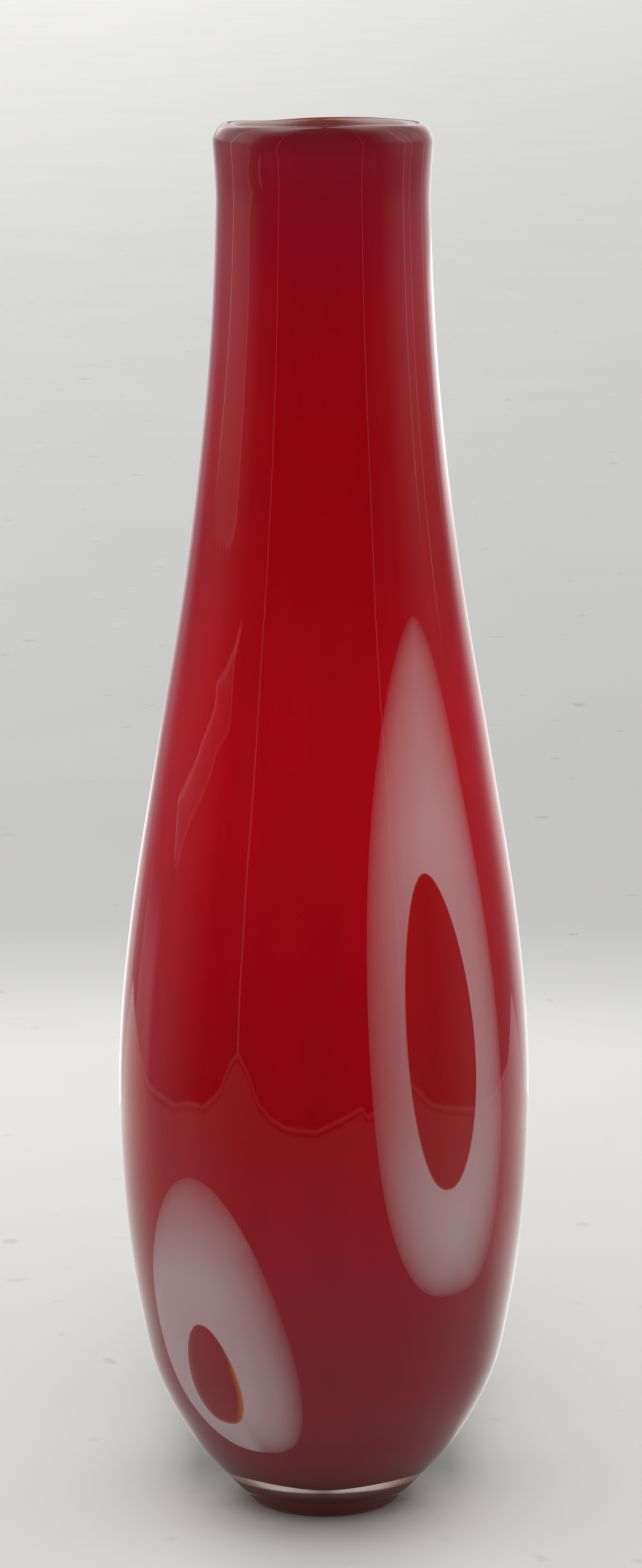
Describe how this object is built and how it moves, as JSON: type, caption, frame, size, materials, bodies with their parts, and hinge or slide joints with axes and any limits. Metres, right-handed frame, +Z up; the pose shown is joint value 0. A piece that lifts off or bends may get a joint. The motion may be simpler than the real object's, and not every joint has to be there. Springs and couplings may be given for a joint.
{
  "type": "glass vase",
  "caption": "Tall bottle-shaped cased glass vase with a rounded belly, a slim open neck, a thick clear base and inlaid ovals.",
  "frame": {"origin": "centre of the ground flat that the vase stands on", "axes": "+Z up along the vase's axis, out of its mouth; -Y towards the side seen in the picture"},
  "size_m": [0.133, 0.133, 0.45],
  "materials": {
    "clear_glass": "clear, fire-polished, slightly wavy",
    "red_glass": "deep red under clear glass",
    "opal_glass": "opal white, glossy",
    "pale_pink_glass": "pinkish white glass under clear glass",
    "core_red_glass": "brownish red glass under clear glass"
  },
  "bodies": {
    "root": {"clear_casing": "clear_glass", "red_layer": "red_glass", "opal_lining": "opal_glass", "front_tall_oval": "pale_pink_glass", "front_tall_core": "core_red_glass", "front_short_oval": "pale_pink_glass", "front_short_core": "core_red_glass", "back_tall_oval": "pale_pink_glass", "back_tall_core": "core_red_glass", "back_short_oval": "pale_pink_glass", "back_short_core": "core_red_glass"}
  },
  "joints": []
}
